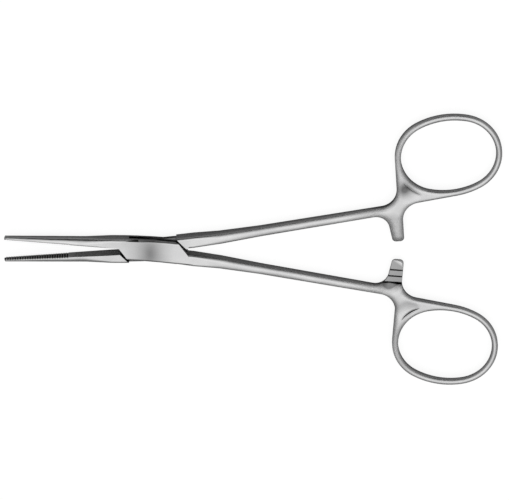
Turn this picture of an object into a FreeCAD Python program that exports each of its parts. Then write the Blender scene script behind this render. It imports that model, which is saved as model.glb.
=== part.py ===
import FreeCAD, Part
import math
import os
from FreeCAD import Vector

# Straight hemostat forceps with a box lock, jaws serrated over their front half, and a ratchet.
# It is made of three pieces. Both halves are one forging, turned over about the X axis for the
# second: the tongue half is milled thin at the middle, and passes through a slot in the box
# half. A rivet ground flush with both faces of the box is the pivot.
# Units are millimetres. The forceps lies flat: X runs from the jaws to the finger rings, Z is
# up, and the origin is on the pivot axis at the underside of the box.
# A half is drawn closed, as the tongue half, with its jaw below the meeting line y = 0 and its
# handle above it. Each half is then turned away from the meeting line by half of rest_opening.

# Opening
rest_opening = 8.1          # degrees between the halves as the forceps lies; 0 is tips touching

# Box lock
box_thickness = 4.4
cheek_thickness = 1.45      # each of the two cheeks that the tongue turns between
tongue_gap = 0.05           # running gap on each face of the tongue
box_half_length = 9.7       # pivot to the long corner of a cheek, along X
shoulder_lean = 2.9         # how far a cheek's end leans back towards the pivot
shoulder_gap = 0.1          # between a cheek's end and the tongue half's shoulder, when closed
box_half_width = 3.15
slot_radius = 7.7           # the slot's ends, round the pivot
slot_end_gap = 0.1          # between the slot's ends and the tongue
box_side_hollow = 0.19      # the side that leads to the shank
box_side_bulge = 0.28       # the side that leads to the jaw
box_edge_radius = 0.7

# Rivet
rivet_radius = 1.2
rivet_running_gap = 0.03    # in the tongue's hole, all round
rivet_head_radius = 1.6     # where the ends are spread into the cheeks' countersinks
rivet_head_depth = 0.35

# Jaws
jaw_length = 42.0           # pivot to tip
jaw_root_gap = 2.3          # along X, from the box's corner to where the jaw begins
jaw_root_depth = 2.72       # from the meeting line to the jaw's back
jaw_tip_depth = 0.8
jaw_tip_thickness = 2.0
jaw_root_relief = 0.28      # the faces stand back from the meeting line, so the tips touch first
jaw_tip_relief = 0.02
jaw_nose_radius = 0.65
jaw_blend_length = 7.0      # from the square root to where the jaw's back is half round
jaw_back_radius = 1.5       # of the back's two edges, where they are fully rounded
jaw_tip_back_radius = 0.65

# Serrations
serration_pitch = 0.7
serration_depth = 0.22
serration_width = 0.6
serrated_length = 18.7

# Shank
shank_root_gap = 1.8        # along X, from the box's corner to where the shank begins
shank_root_width = 3.3
shank_root_centre = 2.0     # from the meeting line to the shank's middle
shank_bend_length = 18.9    # from its root to where it runs straight
shank_width = 2.55          # where it runs straight
shank_hub_width = 2.35
shank_thickness = 3.4
shank_angle = 6.25          # degrees from the meeting line
shank_straight_centre = 3.61
shank_bend_share = 0.4      # where along the bend it lies furthest in
shank_bend_depth = 0.22
shank_edge_radius = 0.86

# Finger ring and the hub where it meets the shank and the ratchet bar
hub_length = 9.27           # along X, from the shank's end to the ring's near end
hub_thickness = 3.1
ring_end_thickness = 1.9
ring_x = 84.4
ring_y = 22.93
ring_half_length = 15.05    # outside
ring_half_width = 12.25
ring_side_bulge = 0.6       # how much more than the end arcs' radius ring_half_width is
ring_tilt = 5.8             # degrees, the far end leaning away from the meeting line
ring_band = 1.7
handle_edge_radius = 0.82
hub_inner_y = 8.9           # where the ring's inner side, run straight on, meets the ratchet bar
hub_ring_fillet = 5.0
hub_bar_fillet = 3.8
web_ball_radius = 13.0      # of the shallow dish beside the ring, on both faces
web_dish_depth = 0.45
web_dish_x = 3.9            # from the ring's near end to the dish's middle
web_dish_y = 4.8            # from the shank's middle line there to the dish's middle

# Ratchet
ratchet_setback = 1.28      # along X, from the ring's near end to the bar's far edge
ratchet_tip_width = 3.25
ratchet_slant = 9.0         # degrees, the bar's front edge
ratchet_reach = 1.85        # past the meeting line when the tips touch
ratchet_corner_radius = 1.1
ratchet_teeth = 3
ratchet_pitch = 1.9
ratchet_first_tooth = 2.95  # from the bar's end to the first locking edge
ratchet_tooth_height = 0.6
ratchet_notch_width = 0.45
ratchet_ramp_rise = 0.2     # from the end of a notch to the next locking edge
ratchet_face_gap = 0.1      # between the crests of the two bars
scoop_floor_radius = 1.3    # conical recess behind the last tooth
scoop_slope = 32.0          # degrees, its wall
scoop_offset = 3.4          # from the bar's far edge to the cone's axis

jaw_root_x = box_half_length + jaw_root_gap
shank_root_x = box_half_length + shank_root_gap
shank_straight_x = shank_root_x + shank_bend_length
ring_end_radius = ring_half_width - ring_side_bulge
ring_end_offset = ring_half_length - ring_end_radius    # to the centres of the end arcs
ring_near_x = ring_x - ring_end_offset * math.cos(math.radians(ring_tilt)) - ring_end_radius
hub_x = ring_near_x - hub_length
ratchet_right_x = ring_near_x + ratchet_setback
mid_z = box_thickness / 2
tongue_thickness = box_thickness - 2 * cheek_thickness - 2 * tongue_gap
ALL = 200.0                 # a cutter that reaches past the whole part
OVER = 1.0                  # how far a cutter runs past the surface it cuts


def flat_face(points, z):
    """A level face with straight sides, from a list of (x, y) corners."""
    corners = [Vector(x, y, z) for x, y in points]
    return Part.Face(Part.makePolygon(corners + corners[:1]))


def prism(points, z_low, z_high):
    """A straight-sided block standing on a level outline."""
    return flat_face(points, z_low).extrude(Vector(0, 0, z_high - z_low))


def turned_over(shape):
    """The second half of the forging: the first one rolled over about the X axis."""
    copy = shape.copy()
    copy.rotate(Vector(0, 0, mid_z), Vector(1, 0, 0), 180)
    return copy


def bowed(a, b, rise):
    """An arc from a to b, its middle standing to the left of the straight line by rise."""
    along = (b - a).normalize()
    return Part.Arc(a, (a + b) / 2 + Vector(-along.y, along.x, 0) * rise, b)


def limb_section(x, y, angle, low, high, thickness, low_radius, high_radius, arcs=1):
    """A rectangle standing across a jaw or shank where it passes (x, y), corners rounded.

    angle is the limb's direction from X in degrees. low and high are its two sides, measured
    across it from (x, y). Each side's two corners have that side's radius, or none, and are
    drawn as so many arcs.
    """
    turn = math.radians(angle)
    across = Vector(-math.sin(turn), math.cos(turn), 0)
    half = thickness / 2
    corners = [
        (low + low_radius, low_radius - half, low_radius, 180),
        (high - high_radius, high_radius - half, high_radius, 270),
        (high - high_radius, half - high_radius, high_radius, 0),
        (low + low_radius, half - low_radius, low_radius, 90),
    ]
    rounds = []
    for reach, z, radius, start in corners:
        points = []
        for step in range(2 * arcs + 1):
            t = math.radians(start + 45 * step / arcs)
            along = across * (reach + radius * math.cos(t))
            points.append(Vector(x, y, mid_z + z + radius * math.sin(t)) + along)
        rounds.append(points)
    edges = []
    for i, points in enumerate(rounds):
        if corners[i][2] > 0:
            for k in range(0, 2 * arcs, 2):
                edges.append(Part.Arc(points[k], points[k + 1], points[k + 2]).toShape())
        edges.append(Part.LineSegment(points[-1], rounds[(i + 1) % 4][0]).toShape())
    return Part.Wire(edges)


def end_outline(solid, x):
    """The outline of a solid's end face, the one whose middle is nearest x."""
    ends = sorted(solid.Faces, key=lambda face: abs(face.CenterOfMass.x - x))
    return ends[0].OuterWire


def relief(x):
    """How far a jaw's face stands back from the meeting line, x being negative."""
    along = (jaw_length + x) / (jaw_length - box_half_length)
    return jaw_tip_relief + (jaw_root_relief - jaw_tip_relief) * along


def nose_edge(reach, slope):
    """The rounded end of a jaw as (x, distance) points: the arc's two ends and its middle."""
    tip = -jaw_length
    r = jaw_nose_radius
    cut = r * (1 - math.sqrt(0.5))
    return (tip, reach - r), (tip + cut, reach - cut), (tip + r, reach + slope * r)


def jaw(root):
    """The tapering jaw, from the outline of its root: half round behind, with a rounded nose."""
    tip = -jaw_length
    length = jaw_length - jaw_root_x
    deepen = (jaw_root_depth - jaw_tip_depth) / length
    thicken = (box_thickness - jaw_tip_thickness) / length
    stations = [
        (-jaw_root_x - jaw_blend_length, jaw_back_radius),
        (tip, jaw_tip_back_radius),
    ]
    sections = [root]
    for x, back_radius in stations:
        depth = jaw_tip_depth + deepen * (x - tip)
        thickness = jaw_tip_thickness + thicken * (x - tip)
        sections.append(limb_section(x, 0, 0, -depth, -relief(x), thickness, back_radius, 0))
    body = Part.makeLoft(sections, True, True)

    # Rounded as seen from above, then as seen from the side.
    first, middle, last = [Vector(x, -d, 0) for x, d in nose_edge(jaw_tip_depth, deepen)]
    far = Vector(-jaw_root_x, -2 * jaw_root_depth, 0)
    top = [Vector(-jaw_root_x, OVER, 0), Vector(tip, OVER, 0)]
    lines = [Part.Arc(first, middle, last), Part.LineSegment(last, far)]
    lines += [Part.LineSegment(far, top[0]), Part.LineSegment(top[0], top[1])]
    lines.append(Part.LineSegment(top[1], first))
    above = Part.Face(Part.Wire([line.toShape() for line in lines]))
    body = body.common(above.extrude(Vector(0, 0, box_thickness)))

    profile = nose_edge(jaw_tip_thickness / 2, thicken / 2)
    y = -2 * jaw_root_depth
    first, middle, last = [Vector(x, y, mid_z + d) for x, d in profile]
    low_first, low_middle, low_last = [Vector(x, y, mid_z - d) for x, d in profile]
    far = Vector(-jaw_root_x, y, 2 * box_thickness)
    low_far = Vector(-jaw_root_x, y, -box_thickness)
    lines = [Part.Arc(first, middle, last), Part.LineSegment(last, far)]
    lines += [Part.LineSegment(far, low_far), Part.LineSegment(low_far, low_last)]
    lines += [Part.Arc(low_last, low_middle, low_first), Part.LineSegment(low_first, first)]
    side = Part.Face(Part.Wire([line.toShape() for line in lines]))
    return body.common(side.extrude(Vector(0, 4 * jaw_root_depth, 0)))


def box_block():
    """The middle of the forging, from jaw root to shank root, with both ends leaning."""
    corner = box_half_length - shoulder_lean
    inner = shank_root_centre - shank_root_width / 2
    outer = shank_root_centre + shank_root_width / 2
    jaw_inner = Vector(-jaw_root_x, -relief(-jaw_root_x), 0)
    jaw_corner = Vector(-box_half_length, -jaw_root_relief, 0)
    shank_side = Vector(-corner, box_half_width, 0)
    shank_outer = Vector(shank_root_x, outer, 0)
    shank_inner = Vector(shank_root_x, inner, 0)
    shank_corner = Vector(box_half_length, jaw_root_relief, 0)
    jaw_side = Vector(corner, -box_half_width, 0)
    jaw_back = Vector(-jaw_root_x, -jaw_root_depth, 0)
    lines = [
        Part.LineSegment(jaw_inner, jaw_corner),
        Part.LineSegment(jaw_corner, shank_side),
        bowed(shank_side, shank_outer, -box_side_hollow),
        Part.LineSegment(shank_outer, shank_inner),
        Part.LineSegment(shank_inner, shank_corner),
        Part.LineSegment(shank_corner, jaw_side),
        bowed(jaw_side, jaw_back, box_side_bulge),
        Part.LineSegment(jaw_back, jaw_inner),
    ]
    outline = Part.Face(Part.Wire([line.toShape() for line in lines]))
    block = outline.extrude(Vector(0, 0, box_thickness))
    # Rounded along both sides, and where the shank's inner side leaves the box.
    leaving = (shank_inner + shank_corner) / 2
    rounded = []
    for edge in block.Edges:
        middle = edge.CenterOfMass
        level = edge.BoundBox.ZLength < 1e-6
        beside_shank = math.hypot(middle.x - leaving.x, middle.y - leaving.y) < 1e-4
        if level and (beside_shank or isinstance(edge.Curve, Part.Circle)):
            rounded.append(edge)
    return block.makeFillet(box_edge_radius, rounded)


def shank(root, end):
    """The shank: a slight bend from its root, then a straight, narrowing run to the hub."""
    share = shank_bend_share
    width = shank_root_width + (shank_width - shank_root_width) * share
    thickness = box_thickness + (shank_thickness - box_thickness) * share
    centre = shank_root_centre + (shank_straight_centre - shank_root_centre) * share
    bend = [root]
    stations = [
        (shank_root_x + shank_bend_length * share, centre - shank_bend_depth, width, thickness),
        (shank_straight_x, shank_straight_centre, shank_width, shank_thickness),
    ]
    for x, y, width, thickness in stations:
        size = (-width / 2, width / 2, thickness, shank_edge_radius, shank_edge_radius)
        bend.append(limb_section(x, y, shank_angle, *size))
    # The hub's edges have three bevels each, so here the same corners are drawn as three arcs.
    start = limb_section(shank_straight_x, shank_straight_centre, shank_angle, *size, arcs=3)
    return [Part.makeLoft(bend, True, True), Part.makeLoft([start, end], True, True)]


def four_arc_oval(inset):
    """Sizes of the ring's oval, drawn in by inset: arc radii, and where the arcs join."""
    half_length = ring_half_length - inset
    half_width = ring_half_width - inset
    end_radius = ring_end_radius - inset
    bulge = half_width - end_radius
    back = (ring_end_offset ** 2 - bulge ** 2) / (2 * bulge)
    lean = math.atan2(back, ring_end_offset)
    joint = (ring_end_offset + end_radius * math.cos(lean), end_radius * math.sin(lean))
    return half_length, half_width, end_radius, back, joint


def on_ring(x, y):
    """A point given along and across the ring's own axes."""
    turn = math.radians(ring_tilt)
    return Vector(
        ring_x + x * math.cos(turn) - y * math.sin(turn),
        ring_y + x * math.sin(turn) + y * math.cos(turn),
        0,
    )


def ring_block(inset):
    """The ring's oval, drawn in by inset, as a tall block."""
    half_length, half_width, end_radius, back, joint = four_arc_oval(inset)
    x, y = joint
    arcs = [
        Part.Arc(on_ring(x, -y), on_ring(half_length, 0), on_ring(x, y)),
        Part.Arc(on_ring(x, y), on_ring(0, half_width), on_ring(-x, y)),
        Part.Arc(on_ring(-x, y), on_ring(-half_length, 0), on_ring(-x, -y)),
        Part.Arc(on_ring(-x, -y), on_ring(0, -half_width), on_ring(x, -y)),
    ]
    face = Part.Face(Part.Wire([arc.toShape() for arc in arcs]))
    return face.extrude(Vector(0, 0, 2 * box_thickness))


def handle_outline():
    """Ring, hub and ratchet bar seen from above, and the corners that are rounded."""
    half_length, half_width, end_radius, back, joint = four_arc_oval(0)
    slope = math.tan(math.radians(shank_angle))
    turn = math.radians(shank_angle)
    half = shank_hub_width / 2

    def side_y(x, side):
        middle = shank_straight_centre + slope * (x - shank_straight_x)
        return middle + side * half / math.cos(turn)

    # The near end of the ring runs on straight, square to the shank, from its leftmost point.
    left_centre = on_ring(-ring_end_offset, 0)
    leftmost = left_centre + Vector(-end_radius, 0, 0)
    outer_corner = Vector(leftmost.x, side_y(leftmost.x, 1), 0)

    # The ring's inner side runs on straight to the bar, along the tangent from this corner.
    inner_corner = Vector(ratchet_right_x, hub_inner_y, 0)
    side_centre = on_ring(0, back)
    side_radius = half_width + back
    away = inner_corner - side_centre
    spread = math.acos(side_radius / away.Length)
    heading = math.atan2(away.y, away.x) + spread
    tangent = side_centre + Vector(math.cos(heading), math.sin(heading), 0) * side_radius

    # Points half way along the two arcs that these lines cut short.
    start = on_ring(-joint[0], joint[1]) - left_centre
    end = leftmost - left_centre
    on_left = left_centre + (start + end).normalize() * end_radius
    start = on_ring(joint[0], -joint[1]) - side_centre
    end = tangent - side_centre
    on_side = side_centre + (start + end).normalize() * side_radius

    tip = -ratchet_reach
    bar_left = ratchet_right_x - ratchet_tip_width
    run = math.tan(math.radians(ratchet_slant))
    # Where the bar's slanting front edge meets the shank's inner edge.
    meet_y = (side_y(bar_left, -1) + slope * run * tip) / (1 + slope * run)
    bar_corner = Vector(bar_left - run * (meet_y - tip), meet_y, 0)

    lean = half * math.sin(turn)
    middle = shank_straight_centre + slope * (hub_x - shank_straight_x)
    rise = half * math.cos(turn)
    outer_start = Vector(hub_x - lean, middle + rise, 0)
    inner_start = Vector(hub_x + lean, middle - rise, 0)
    tip_right = Vector(ratchet_right_x, tip, 0)
    tip_left = Vector(bar_left, tip, 0)
    x, y = joint
    lines = [
        Part.LineSegment(outer_start, outer_corner),
        Part.LineSegment(outer_corner, leftmost),
        Part.Arc(leftmost, on_left, on_ring(-x, y)),
        Part.Arc(on_ring(-x, y), on_ring(0, half_width), on_ring(x, y)),
        Part.Arc(on_ring(x, y), on_ring(half_length, 0), on_ring(x, -y)),
        Part.Arc(on_ring(x, -y), on_side, tangent),
        Part.LineSegment(tangent, inner_corner),
        Part.LineSegment(inner_corner, tip_right),
        Part.LineSegment(tip_right, tip_left),
        Part.LineSegment(tip_left, bar_corner),
        Part.LineSegment(bar_corner, inner_start),
        Part.LineSegment(inner_start, outer_start),
    ]
    corners = [
        (outer_corner, hub_ring_fillet),
        (inner_corner, hub_ring_fillet),
        (bar_corner, hub_bar_fillet),
        (tip_right, ratchet_corner_radius),
        (tip_left, ratchet_corner_radius),
    ]
    return Part.Face(Part.Wire([line.toShape() for line in lines])), corners


def web_dish():
    """The shallow dish in the hub's upper face; the ring's rim stands up round it."""
    x = ring_near_x + web_dish_x
    y = shank_straight_centre + math.tan(math.radians(shank_angle)) * (x - shank_straight_x)
    along = (x - hub_x) / (ring_x + ring_half_length - hub_x)
    top = mid_z + (hub_thickness + (ring_end_thickness - hub_thickness) * along) / 2
    ball = Part.makeSphere(web_ball_radius)
    ball.translate(Vector(x, y + web_dish_y, top + web_ball_radius - web_dish_depth))
    return ball.cut(ring_block(0))


def handle():
    """Ring, hub and ratchet bar in one piece, thinning to the ring's far end, edges rounded.

    The upper half is made, and mirrored for the lower.
    """
    face, corners = handle_outline()
    body = face.extrude(Vector(0, 0, mid_z))
    body.translate(Vector(0, 0, mid_z))
    for corner, radius in corners:
        for edge in body.Edges:
            middle = edge.CenterOfMass
            if math.hypot(middle.x - corner.x, middle.y - corner.y) < 1e-4:
                body = body.makeFillet(radius, [edge])
                break
    body = body.cut(ring_block(ring_band))
    near = hub_thickness / 2
    far = ring_end_thickness / 2
    start = hub_x - OVER
    end = ring_x + ring_half_length + OVER
    near += (near - far) * OVER / (end - start)
    sides = [
        Vector(start, -ALL, mid_z),
        Vector(end, -ALL, mid_z),
        Vector(end, -ALL, mid_z + far),
        Vector(start, -ALL, mid_z + near),
    ]
    taper = Part.Face(Part.makePolygon(sides + sides[:1])).extrude(Vector(0, 2 * ALL, 0))
    upper = eased(body.common(taper), handle_edge_radius).cut(web_dish())
    lower = upper.mirror(Vector(0, 0, mid_z), Vector(0, 0, 1))
    return upper.fuse(lower).removeSplitter()


def eased(body, radius):
    """Rounds the upper edges of the handle: three narrow bevels each, touching an arc of radius."""
    eighth = math.pi / 8
    for setback in (2 - math.sqrt(2), math.tan(eighth) - math.tan(eighth / 2)):
        long_edges = []
        for edge in body.Edges:
            level = edge.BoundBox.ZLength < 0.2 * edge.Length
            upper = edge.BoundBox.ZMin > mid_z + 0.1
            if level and upper and edge.CenterOfMass.x > hub_x + 0.2:
                long_edges.append(edge)
        body = body.makeChamfer(setback * radius, long_edges)
    return body


def forging():
    """One whole half before it is milled: jaw, middle, shank, ring and ratchet bar."""
    middle = box_block()
    ring = handle()
    front = jaw(end_outline(middle, -jaw_root_x))
    bend, run = shank(end_outline(middle, shank_root_x), end_outline(ring, hub_x))
    return middle.fuse([front, bend, run, ring]).removeSplitter()


def serrations(offset):
    """Cutters for the V grooves across a jaw's face; offset moves them along the jaw."""
    cutters = []
    flare = serration_width / 2 * (1 + OVER / serration_depth)
    for i in range(int(serrated_length / serration_pitch)):
        x = -jaw_length + serration_width / 2 + offset + i * serration_pitch
        face_y = -relief(x)
        groove = [
            (x, face_y - serration_depth),
            (x + flare, face_y + OVER),
            (x - flare, face_y + OVER),
        ]
        cutters.append(prism(groove, 0, box_thickness))
    return cutters


def ratchet_cut():
    """What is milled off the lower side of the ratchet bar: notches, then a round recess."""
    crest = mid_z + ratchet_face_gap / 2
    root = crest + ratchet_tooth_height
    ramp = crest + ratchet_ramp_rise
    tip = -ratchet_reach
    profile = [(tip - OVER, 0), (tip - OVER, root), (tip, root)]
    for i in range(ratchet_teeth):
        edge = tip + ratchet_first_tooth + i * ratchet_pitch
        profile += [(edge, crest), (edge, root), (edge + ratchet_notch_width, ramp)]
    last = edge + ratchet_notch_width
    profile.append((last, 0))
    corners = [Vector(hub_x, y, z) for y, z in profile]
    face = Part.Face(Part.makePolygon(corners + corners[:1]))
    teeth = face.extrude(Vector(ratchet_right_x + OVER - hub_x, 0, 0))
    axis = Vector(ratchet_right_x - scoop_offset, last - scoop_floor_radius, 0)
    mouth = scoop_floor_radius + ramp / math.tan(math.radians(scoop_slope))
    cone = Part.makeCone(mouth, scoop_floor_radius, ramp, axis)
    beyond = Part.makeBox(ALL, ALL, ALL, Vector(0, last, -ALL / 2))
    return [teeth, cone.common(beyond)]


def milled_forging(serration_offset):
    """One half with its jaw serrated and its ratchet cut, still solid at the middle."""
    return forging().cut(ratchet_cut()).cut(serrations(serration_offset))


def round_block(radius, z_low, z_high):
    """A plain cylinder on the pivot axis."""
    return Part.makeCylinder(radius, z_high - z_low, Vector(0, 0, z_low))


def strip_between_shoulders(z_low, z_high):
    """The room for a cheek in the tongue half, between the two shoulders that face its ends."""
    corner = Vector(shoulder_lean - box_half_length, -box_half_width, 0)
    along = Vector(-shoulder_lean, jaw_root_relief + box_half_width, 0).normalize()
    outward = Vector(-along.y, along.x, 0) * shoulder_gap
    low = corner + outward - along * box_half_width
    high = corner + outward + along * 4 * box_half_width
    outline = [(low.x, low.y), (high.x, high.y), (-low.x, -low.y), (-high.x, -high.y)]
    return prism(outline, z_low, z_high)


def tongue_half():
    """The half that passes through the slot, milled at its middle to a thin tongue."""
    body = milled_forging(0)
    low = mid_z - tongue_thickness / 2
    high = mid_z + tongue_thickness / 2
    body = body.cut(strip_between_shoulders(-OVER, low))
    body = body.cut(strip_between_shoulders(high, box_thickness + OVER))
    for side in (1, -1):
        # Beyond the slot's ends the tongue keeps only what leads to its own jaw and shank.
        span = [(0, -jaw_root_relief), (0, 2 * box_half_width)]
        span += [(-box_half_length, 2 * box_half_width), (-box_half_length, -jaw_root_relief)]
        corner = prism([(side * x, side * y) for x, y in span], 0, box_thickness)
        body = body.cut(corner.cut(round_block(slot_radius - slot_end_gap, 0, box_thickness)))
    body = body.cut(round_block(rivet_radius + rivet_running_gap, 0, box_thickness))
    body.rotate(Vector(0, 0, 0), Vector(0, 0, 1), rest_opening / 2)
    return body


def box_half():
    """The half with the box: two cheeks with a slot between them, open on both sides."""
    body = turned_over(milled_forging(serration_pitch / 2))
    low = mid_z - tongue_thickness / 2 - tongue_gap
    high = mid_z + tongue_thickness / 2 + tongue_gap
    slot = round_block(slot_radius, low, high)
    for side in (1, -1):
        # The slot runs out past each leaning end, up to the half's own jaw or shank.
        span = [(0, jaw_root_relief), (0, -2 * box_half_width)]
        span += [(-box_half_length, -2 * box_half_width), (-box_half_length, jaw_root_relief)]
        slot = slot.fuse(prism([(side * x, side * y) for x, y in span], low, high))
    body = body.cut(slot).cut(rivet())
    body.rotate(Vector(0, 0, 0), Vector(0, 0, 1), -rest_opening / 2)
    return body


def rivet():
    """The pivot: a plain pin whose ends fill the countersinks and are ground flush."""
    pin = round_block(rivet_radius, 0, box_thickness)
    low = Part.makeCone(rivet_head_radius, rivet_radius, rivet_head_depth)
    high = low.copy()
    high.rotate(Vector(0, 0, mid_z), Vector(1, 0, 0), 180)
    return pin.fuse([low, high]).removeSplitter()


def export(shape, node):
    """Writes one piece, and prints its volume."""
    print(node, round(shape.Volume, 1), "mm3", "valid" if shape.isValid() else "NOT VALID")
    shape.exportStep("parts/" + node + ".step")


if __name__ == "__main__":
    os.makedirs("parts", exist_ok=True)
    export(box_half(), "box_half")
    export(tongue_half(), "tongue_half")
    export(rivet(), "rivet")
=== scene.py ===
# %% [markdown]
# # Straight hemostat forceps, lying part open
#
# Two forged halves cross in a box lock and turn on a rivet. The solids already have the real
# shapes, down to the grooves in the jaws and the teeth of the ratchet. So this script adds no piece.
# It gives the solids what a solid has not got: smooth shading, the satin finish of surgical steel,
# and a studio for the metal to mirror.

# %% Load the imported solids
import bpy
import math
from mathutils import Matrix, Vector


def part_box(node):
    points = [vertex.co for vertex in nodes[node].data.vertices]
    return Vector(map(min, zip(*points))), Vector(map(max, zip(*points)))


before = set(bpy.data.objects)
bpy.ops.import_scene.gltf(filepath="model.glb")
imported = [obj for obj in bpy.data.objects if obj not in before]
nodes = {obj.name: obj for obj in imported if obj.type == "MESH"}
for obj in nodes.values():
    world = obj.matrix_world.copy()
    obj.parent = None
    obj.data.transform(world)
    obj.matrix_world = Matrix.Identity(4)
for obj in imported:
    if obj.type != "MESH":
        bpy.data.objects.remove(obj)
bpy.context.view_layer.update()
for name in sorted(nodes):
    low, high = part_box(name)
    print(name, "from", [round(v * 1000, 1) for v in low], "to", [round(v * 1000, 1) for v in high], "mm")

# %% [markdown]
# ## Smooth shading
#
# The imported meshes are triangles. A ground flat has to stay flat right up to its edge, and a
# rounded edge has to roll over without facets. More triangles would do it too, but slowly. Normals
# smoothed below 40 degrees and weighted by face area do both on the mesh as it is, and the edges of
# teeth, grooves and shoulders stay crisp.

# %% Shade the steel smoothly
crisp_above = math.radians(40)
for name in ("box_half", "tongue_half", "rivet"):
    node = nodes[name]
    with bpy.context.temp_override(object=node, active_object=node, selected_objects=[node],
                                   selected_editable_objects=[node]):
        bpy.ops.object.shade_smooth_by_angle(angle=crisp_above)
    weighted = node.modifiers.new("even_normals", "WEIGHTED_NORMAL")
    weighted.mode = "FACE_AREA"
    weighted.weight = 60
    weighted.keep_sharp = True
    print(name, len(node.data.polygons), "faces")

# %% [markdown]
# ## A steel made in layers
#
# Surgical forceps are polished and then brushed to a satin, so that they don't dazzle under
# theatre lights. A picture of steel could be laid over the model, but it would have to be unwrapped
# and would show the same scratch twice. Here the finish is worked out from each point's own place
# on the instrument, with shader nodes. Each layer below stands for one thing that happens to a real
# forceps while it is made. The helpers come first: they add a node, turn a value into a grey, and
# multiply, measure or reckon with the outputs of other nodes.

# %% Helpers that add a node
def add(tree, kind, **values):
    """A shader node with the given inputs or settings."""
    made = tree.nodes.new(kind)
    for key, value in values.items():
        if key in made.inputs:
            made.inputs[key].default_value = value
        else:
            setattr(made, key, value)
    return made


def ramp(tree, source, stops):
    """A colour ramp on a value: stops are (place, grey) or (place, (r, g, b))."""
    made = tree.nodes.new("ShaderNodeValToRGB")
    tree.links.new(source, made.inputs["Fac"])
    while len(made.color_ramp.elements) < len(stops):
        made.color_ramp.elements.new(0.5)
    for element, (place, colour) in zip(made.color_ramp.elements, stops):
        element.position = place
        rgb = colour if isinstance(colour, tuple) else (colour, colour, colour)
        element.color = (*rgb, 1.0)
    return made.outputs["Color"]


# %% Helpers that reckon
def times(tree, one, other):
    """The product of two colours."""
    made = add(tree, "ShaderNodeVectorMath", operation="MULTIPLY")
    tree.links.new(one, made.inputs[0])
    tree.links.new(other, made.inputs[1])
    return made.outputs["Vector"]


def toward(tree, vector, axis):
    """How far a vector reaches along an axis. A longer axis stretches the value."""
    made = add(tree, "ShaderNodeVectorMath", operation="DOT_PRODUCT")
    tree.links.new(vector, made.inputs[0])
    made.inputs[1].default_value = axis
    return made.outputs["Value"]


def number(tree, operation, *terms):
    """Arithmetic on single values. A term is a plain number or another node's output."""
    made = add(tree, "ShaderNodeMath", operation=operation)
    for socket, term in zip(made.inputs, terms):
        if isinstance(term, (int, float)):
            socket.default_value = term
        else:
            tree.links.new(term, socket)
    return made.outputs["Value"]


def noise(tree, vector, scale, detail, roughness):
    """Noise with so many waves on each unit of the vector."""
    made = add(tree, "ShaderNodeTexNoise", Scale=scale, Detail=detail, Roughness=roughness)
    tree.links.new(vector, made.inputs["Vector"])
    return made.outputs["Fac"]


# %% [markdown]
# ## Polish and brush marks
#
# The brushing runs along the instrument, so its marks are long and thin. Noise that is drawn out ten
# times along X gives them, and both the roughness and the bumps follow it. The polish itself drifts
# a little over several millimetres, which a second, slow noise does to the grey.

# %% The polish
polish = (0.14, 0.24)    # roughness beside and on the brush marks
marks_along = 900.0      # a metre
marks_across = 9000.0


def brush_marks(tree, place):
    """Noise drawn out along the instrument."""
    drawn = add(tree, "ShaderNodeMapping", Scale=(marks_along, marks_across, marks_across))
    tree.links.new(place.outputs["Object"], drawn.inputs["Vector"])
    return noise(tree, drawn.outputs["Vector"], 1.0, 3.0, 0.6)


def polished_grey(tree, place):
    """The grey of the polished steel, with its slow drift."""
    drift = noise(tree, place.outputs["Object"], 160.0, 2.0, 0.5)
    return ramp(tree, drift, [(0.3, (0.66, 0.66, 0.665)), (0.7, (0.74, 0.74, 0.74))])


print("brush marks are", marks_across / marks_along, "times as long as wide")

# %% [markdown]
# ## The gripping faces
#
# The serrations are cut into the jaws and never polished, so the two faces that meet are rougher
# than the rest. They could be a material of their own, but then the border would follow the
# triangles. A mask is cleaner: it is 1 where the surface looks across to the other jaw and lies in
# the front half of the jaw.

# %% A mask for the gripping faces
serrations_begin = (0.021, 0.023)    # ahead of the pivot: none yet, all there
jaw_stretch = 20.0                   # brings metres into a ramp's reach of 0 to 1
cut_roughness = 0.55                 # on top of the polish


def gripping_face(tree, place, side):
    """1 on the serrated face that looks to the given side of Y (1 or -1), 0 elsewhere."""
    facing = toward(tree, place.outputs["Normal"], (0.0, side, 0.0))
    ahead = toward(tree, place.outputs["Object"], (-jaw_stretch, 0.0, 0.0))
    start, whole = serrations_begin
    looks_across = ramp(tree, facing, [(0.35, 0.0), (0.5, 1.0)])
    in_front = ramp(tree, ahead, [(start * jaw_stretch, 0.0), (whole * jaw_stretch, 1.0)])
    return times(tree, looks_across, in_front)


print("serrations from", round(serrations_begin[1] * 1000), "mm ahead of the pivot")

# %% [markdown]
# ## Painted shade in grooves and corners
#
# Grooves, notches and the gaps beside the box lie in shade, and here that shade is painted into
# the colour. It could be painted by hand. The ambient occlusion node finds these places by itself,
# because it measures how open a point is. One short reach paints shade into grooves and gaps, and a
# longer one leaves deep corners, such as the foot of the ratchet, grey with painted shade for some
# millimetres around. On the gripping faces the painted shade is deeper, so the teeth stand out from their
# grooves.

# %% Painted shade in grooves and corners
# Reaches and depth of the painted shade in grooves and corners.
groove_reach = 0.0007
corner_reach = 0.003
darker_on_grip = 3.5


def painted_groove_shade(tree, cut):
    """Painted shade: near 0 in grooves and corners, 1 on open faces."""
    groove = add(tree, "ShaderNodeAmbientOcclusion", Distance=groove_reach, samples=8)
    unshaded = ramp(tree, groove.outputs["AO"], [(0.62, 0.03), (0.93, 1.0)])
    thickness = number(tree, "MULTIPLY_ADD", cut, darker_on_grip, 1.0)
    groove_shade = number(tree, "POWER", unshaded, thickness)
    corner = add(tree, "ShaderNodeAmbientOcclusion", Distance=corner_reach, samples=8, only_local=True)
    dim = ramp(tree, corner.outputs["AO"], [(0.50, 0.25), (0.88, 1.0)])
    return number(tree, "MULTIPLY", groove_shade, dim)


print("the film reaches", groove_reach * 1000, "mm out of a groove")
print("a deep corner is grey for", corner_reach * 1000, "mm")
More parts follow.
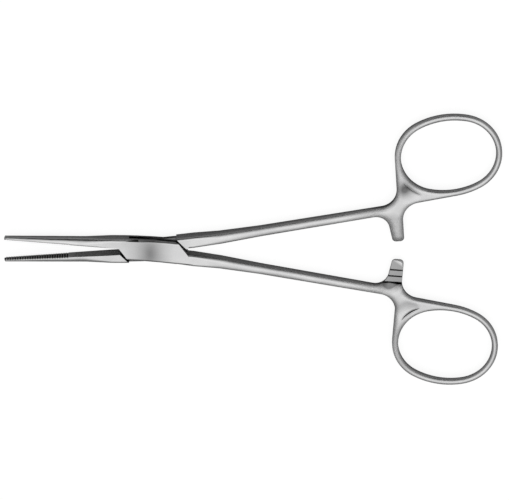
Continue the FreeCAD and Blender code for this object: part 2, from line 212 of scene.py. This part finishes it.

# %% [markdown]
# ## Painted shade spots
#
# The middle of the box gets a grey painted shade, and so does the dished web beside each finger
# ring. Both are soft spots, which a ball-shaped gradient makes without a border.

# %% A soft spot of painted shade
# The gradient is a ball of radius 1 at the origin, so the instrument is stretched and shifted to it.
box_stretch = (110.0, 60.0, 40.0)
box_shift = (0.10, 0.02, -0.1)
web_stretch = 220.0


def painted_shade_spot(tree, place, stretch, shift, full, darkest):
    """Painted shade: 1 outside the ball, and the darkest grey where its gradient passes the full value.
    """
    moved = add(tree, "ShaderNodeMapping", Location=shift, Scale=stretch)
    tree.links.new(place.outputs["Object"], moved.inputs["Vector"])
    ball = add(tree, "ShaderNodeTexGradient", gradient_type="QUADRATIC_SPHERE")
    tree.links.new(moved.outputs["Vector"], ball.inputs["Vector"])
    return ramp(tree, ball.outputs["Fac"], [(0.0, 1.0), (full, darkest)])


def painted_web_shade(tree, place, middle, darkest):
    """The painted shade on a web, the same through its whole thickness."""
    shift = (-middle[0] * web_stretch, -middle[1] * web_stretch, 0)
    return painted_shade_spot(tree, place, (web_stretch, web_stretch, 0), shift, 0.7, darkest)


print("the box's spot ends", [round(1000 / s, 1) for s in box_stretch], "mm from its middle")
print("a web's spot ends", round(1000 / web_stretch, 1), "mm from its middle")

# %% [markdown]
# ## Painted shade on the tongue and the ratchet
#
# The milled tongue that runs through the box lock lies in the crevice beside the box, and the
# ratchet's teeth lie where the two bars meet, so both get a painted shade. The tongue lies between
# two shoulders that lean by 44 degrees and is about a third as thick as the box, so its mask is a
# slab turned to the shoulders. The teeth lie near the middle plane, around one place along the
# handle, so theirs is a distance from both.

# %% Masks for the tongue and the ratchet
mid_plane = 0.0022                     # of the whole instrument, above the table
shoulder_lean = math.radians(44.2)
tongue_half_length = 0.00735           # across the shoulders
tongue_half_thickness = 0.00078
ratchet_x = 0.066
up_stretch = 500.0                     # how fast the distance from the teeth grows upwards
side_stretch = 60.0                    # and sideways


def painted_tongue_shade(tree, place, tongue_shade):
    """1 outside the box lock, and darker on the tongue with painted shade."""
    turned = add(tree, "ShaderNodeMapping", Location=(0, 0, -mid_plane), Rotation=(0, 0, -shoulder_lean))
    tree.links.new(place.outputs["Object"], turned.inputs["Vector"])
    apart = add(tree, "ShaderNodeVectorMath", operation="ABSOLUTE")
    tree.links.new(turned.outputs["Vector"], apart.inputs[0])
    far = apart.outputs["Vector"]
    between = number(tree, "LESS_THAN", toward(tree, far, (1, 0, 0)), tongue_half_length)
    thin = number(tree, "LESS_THAN", toward(tree, far, (0, 0, 1)), tongue_half_thickness)
    return ramp(tree, number(tree, "MULTIPLY", between, thin), [(0.0, 1.0), (1.0, 1.0 - tongue_shade)])


def off_ratchet(tree, place):
    """0 at the ratchet's teeth, growing over and under them quickly and to both sides slowly."""
    above = number(tree, "SUBTRACT", toward(tree, place.outputs["Object"], (0, 0, 1)), mid_plane)
    beside = number(tree, "SUBTRACT", toward(tree, place.outputs["Object"], (1, 0, 0)), ratchet_x)
    sideways = number(tree, "MULTIPLY", number(tree, "ABSOLUTE", beside), side_stretch)
    return number(tree, "MULTIPLY_ADD", number(tree, "ABSOLUTE", above), up_stretch, sideways)


print("the tongue's mask is", round(tongue_half_thickness * 2000, 2), "mm thick")

# %% [markdown]
# ## Worn edges
#
# Grinding and tumbling leave no crisp edge on the handles, and only a fine one on the jaws. The
# solids have rounded edges, and the bevel node rolls the normals a little further, as if each face
# were slightly crowned. Its radius changes along the instrument: none at the box, whose corners
# stay crisp, and most where a shank runs into its ring. The ratchet's teeth keep their edges.

# %% Normals rolled over the edges
widest_edge = 0.0029
x_stretch = 7.0    # these two bring X in metres between 0 and 1
x_shift = 0.35
# Places along the instrument, each with its share of the widest edge.
edges = [(0.24, 0.18), (0.27, 0.0), (0.43, 0.0), (0.49, 0.5),
         (0.72, 0.5), (0.78, 1.0), (0.82, 1.0), (0.88, 0.28)]


def worn_edges(tree, place, off_teeth):
    """The normal with softened edges."""
    along = toward(tree, place.outputs["Object"], (1, 0, 0))
    wear = ramp(tree, number(tree, "MULTIPLY_ADD", along, x_stretch, x_shift), edges)
    skin = ramp(tree, off_teeth, [(0.35, 0.1), (0.55, 1.0)])
    radius = number(tree, "MULTIPLY", times(tree, wear, skin), widest_edge)
    soft = add(tree, "ShaderNodeBevel", samples=6)
    tree.links.new(radius, soft.inputs["Radius"])
    return soft.outputs["Normal"]


for at, share in edges:
    x = (at - x_shift) / x_stretch
    print("at x", round(x * 1000, 1), "mm edges soften by", round(share * widest_edge * 1000, 2), "mm")

# %% [markdown]
# ## Hand grinding, marks and pits
#
# The faces are ground by hand, so they wander by a degree or two, the brush leaves fine furrows,
# and the forging leaves pits. All three are too shallow to model, so they are bumps, each tipping
# the normal that the one before it gives.

# %% The chain of bumps
brush_strength = 0.35
pit_strength = 0.15
furrow_depth = 0.00001
wander = 0.0006


def bumped(tree, normal, height, strength, distance):
    """A normal tipped by the slopes of a height."""
    made = add(tree, "ShaderNodeBump", Strength=strength, Distance=distance)
    tree.links.new(height, made.inputs["Height"])
    tree.links.new(normal, made.inputs["Normal"])
    return made.outputs["Normal"]


def ground_by_hand(tree, place, normal, marks):
    """The normal with the waves of grinding, the furrows of the brush and pits."""
    waves = noise(tree, place.outputs["Object"], 90.0, 1.0, 0.4)
    pits = noise(tree, place.outputs["Object"], 4200.0, 2.0, 0.5)
    normal = bumped(tree, normal, waves, 1.0, wander)
    normal = bumped(tree, normal, marks, brush_strength, furrow_depth)
    return bumped(tree, normal, pits, pit_strength, furrow_depth)


print("furrows of", furrow_depth * 1e6, "micrometres")

# %% [markdown]
# ## The two steels
#
# The halves are made of one steel. They differ only in which way the gripping face looks, where
# the web lies and how dark its painted shade is, and whether there is a tongue, so one function
# makes both materials.

# %% Put the layers together
def satin_steel(name, grip, web, web_shade, tongue=0.0):
    """Satin steel: grip is the side of the gripping face, web the middle of the painted shade on the
    dished web.
    """
    steel = bpy.data.materials.new(name)
    steel.use_nodes = True
    tree = steel.node_tree
    shader = tree.nodes["Principled BSDF"]
    shader.inputs["Metallic"].default_value = 1.0
    place = add(tree, "ShaderNodeTexCoord")
    marks = brush_marks(tree, place)
    cut = gripping_face(tree, place, grip)
    off_teeth = off_ratchet(tree, place)

    # painted shade in grooves and corners, on the polished grey
    colour = times(tree, polished_grey(tree, place), painted_groove_shade(tree, cut))
    # painted shade in the middle of the box
    colour = times(tree, colour, painted_shade_spot(tree, place, box_stretch, box_shift, 0.9, 0.35))
    # painted shade on the dished web
    colour = times(tree, colour, painted_web_shade(tree, place, web, web_shade))
    if tongue:
        # painted shade on the tongue
        colour = times(tree, colour, painted_tongue_shade(tree, place, tongue))
    # painted shade on the ratchet's teeth, where the two bars meet
    colour = times(tree, colour, ramp(tree, off_teeth, [(0.35, 0.5), (0.45, 1.0)]))
    tree.links.new(colour, shader.inputs["Base Color"])

    rough = ramp(tree, marks, [(0.3, polish[0]), (0.7, polish[1])])
    rough = number(tree, "MULTIPLY_ADD", cut, cut_roughness, rough)
    tree.links.new(rough, shader.inputs["Roughness"])

    normal = worn_edges(tree, place, off_teeth)
    normal = ground_by_hand(tree, place, normal, marks)
    tree.links.new(normal, shader.inputs["Normal"])
    return steel


# %% Finish each half
# The web's painted shade is darker on the tongue half (0.28) than on the box half (0.55).
forged = satin_steel("satin_steel", -1.0, (0.0672, -0.0170), 0.55)
tongue_steel = satin_steel("satin_steel_with_tongue", 1.0, (0.0705, 0.0188), 0.28, tongue=0.75)
for name, steel in (("box_half", forged), ("tongue_half", tongue_steel), ("rivet", forged)):
    for slot in nodes[name].material_slots:
        slot.material = steel
    print(name, "is finished in", steel.name, "with", len(steel.node_tree.nodes), "nodes")

# %% [markdown]
# ## The table
#
# The forceps lies on white paper. In the picture that paper is overexposed and keeps only a faint
# shadow. A brighter lamp would do that, but it would burn out the metal as well. So the paper is a
# plain grey for all light, and only for the camera some glow is added. Metal shows the table too, with
# a painted shadow: dark close by the forceps, where its own shadow lies, and paler further off.

# %% A plain grey paper
span = 6.0
bpy.ops.mesh.primitive_plane_add(size=span, location=(0.03, 0, 0))
table = bpy.context.object
table.name = "table"
paper = bpy.data.materials.new("white_table")
paper.use_nodes = True
tree = paper.node_tree
tree.nodes.clear()
plain = add(tree, "ShaderNodeBsdfDiffuse", Color=(0.30, 0.30, 0.30, 1.0))
print("a table of", span, "m")

# %% What the camera and the metal see of it
glow = add(tree, "ShaderNodeEmission", Color=(1.0, 1.0, 1.0, 1.0), Strength=0.86)
overexposed = add(tree, "ShaderNodeAddShader")
tree.links.new(plain.outputs["BSDF"], overexposed.inputs[0])
tree.links.new(glow.outputs["Emission"], overexposed.inputs[1])

shadow_reach = 0.012
# For the metal the table carries a painted shadow, darker where the forceps is close by.
mirrored_table = add(tree, "ShaderNodeBsdfDiffuse")
open_sky = add(tree, "ShaderNodeAmbientOcclusion", Distance=shadow_reach, samples=8)
mirrored = ramp(tree, open_sky.outputs["AO"], [(0.70, 0.22), (0.95, 0.44)])
tree.links.new(mirrored, mirrored_table.inputs["Color"])
print("in the metal the table is darker within", shadow_reach * 1000, "mm")


# %% Choose by the kind of ray
def mixed(tree, value, first, second):
    """Two shaders mixed by a value: the first at 0, the second at 1."""
    made = add(tree, "ShaderNodeMixShader")
    tree.links.new(value, made.inputs["Fac"])
    tree.links.new(first, made.inputs[1])
    tree.links.new(second, made.inputs[2])
    return made.outputs["Shader"]


rays = add(tree, "ShaderNodeLightPath")
camera_ray, metal_ray = rays.outputs["Is Camera Ray"], rays.outputs["Is Glossy Ray"]
for_camera = mixed(tree, camera_ray, plain.outputs["BSDF"], overexposed.outputs["Shader"])
for_metal = mixed(tree, metal_ray, for_camera, mirrored_table.outputs["BSDF"])
out = add(tree, "ShaderNodeOutputMaterial")
tree.links.new(for_metal, out.inputs["Surface"])
table.data.materials.append(paper)
print("the paper has", len(tree.nodes), "nodes")

# %% [markdown]
# ## The studio
#
# Metal shows what is around it, so the surroundings make the picture. In the studio a broad, pale
# softbox hangs over the instrument, a dark card stands behind it, and the near side falls off to
# grey. Lamps and cards could be set up as objects. The world does the same with less: its grey
# depends only on the turn about the instrument's long axis, so each face picks up its own grey
# and a rolled edge shows the border between softbox and card as a thin dark line.

# %% The turn about the long axis
world = bpy.data.worlds.new("studio")
bpy.context.scene.world = world
world.use_nodes = True
tree = world.node_tree
tree.nodes.clear()
leaving = add(tree, "ShaderNodeTexCoord").outputs["Generated"]
turn = number(tree, "ARCTAN2", toward(tree, leaving, (0, 0, 1)), toward(tree, leaving, (0, 1, 0)))
half_turns = number(tree, "DIVIDE", turn, math.pi)

# 0 is level on the far side (+Y), 0.5 straight up, 1 level on the near side.
dark_card = [(0.0, 0.03), (0.04, 0.01), (0.13, 0.01)]
softbox = [(0.22, 0.26), (0.31, 0.76), (0.43, 1.0), (0.52, 1.1), (0.60, 1.02), (0.68, 0.80)]
near_side = [(0.77, 0.50), (0.88, 0.22), (1.0, 0.10)]
studio = add(tree, "ShaderNodeBackground", Strength=1.0)
tree.links.new(ramp(tree, half_turns, dark_card + softbox + near_side), studio.inputs["Color"])
print("the softbox is brightest", round(180 * 0.52), "degrees up from the far side")

# %% [markdown]
# ## The ends of the room
#
# Seen from the side or from the rings, the metal mirrors what lies beyond both ends of the
# instrument. That is the plain grey of the room.

# %% Blend the room in towards both ends
room = add(tree, "ShaderNodeBackground", Color=(0.28, 0.28, 0.28, 1.0), Strength=1.0)
endways = number(tree, "ABSOLUTE", toward(tree, leaving, (1, 0, 0)))
ends = ramp(tree, endways, [(0.30, 0.0), (0.75, 1.0)])
around = mixed(tree, ends, studio.outputs["Background"], room.outputs["Background"])
out = add(tree, "ShaderNodeOutputWorld")
tree.links.new(around, out.inputs["Surface"])
print("a world of", len(tree.nodes), "nodes")

# %% [markdown]
# ## The camera
#
# The picture is taken from far away with a long lens, so both rings look the same size. The camera
# leans 23 degrees past the zenith to the far side, which is why the back of each jaw shows. The
# lens follows from the distance and from how many pixels a metre takes in the picture.

# %% Aim the camera
lean = math.radians(23.0)
roll = math.radians(0.25)
distance = 1.6
picture_width = 509
pixels_per_metre = 3560.0
aim = Vector((0.0285, 0.0008, 0.0044))
back = Vector((0, math.sin(lean), math.cos(lean)))
right = Vector((1, 0, 0))
up = Vector((0, math.cos(lean), -math.sin(lean)))
level_right = right * math.cos(roll) + up * math.sin(roll)
level_up = up * math.cos(roll) - right * math.sin(roll)
turned = Matrix((level_right, level_up, back)).transposed().to_4x4()
print("the camera stands", round((aim + back * distance).z, 2), "m above the table")

# %% Set the camera
lens = bpy.data.cameras.new("camera")
camera = bpy.data.objects.new("camera", lens)
bpy.context.scene.collection.objects.link(camera)
camera.matrix_world = Matrix.Translation(aim + back * distance) @ turned
lens.sensor_width = 36.0
lens.lens = lens.sensor_width * pixels_per_metre * distance / picture_width
lens.clip_start = 0.01
lens.clip_end = 20.0
bpy.context.scene.camera = camera
print("lens of", round(lens.lens, 1), "mm")

# %% Set the view transform
bpy.context.scene.view_settings.view_transform = "Standard"
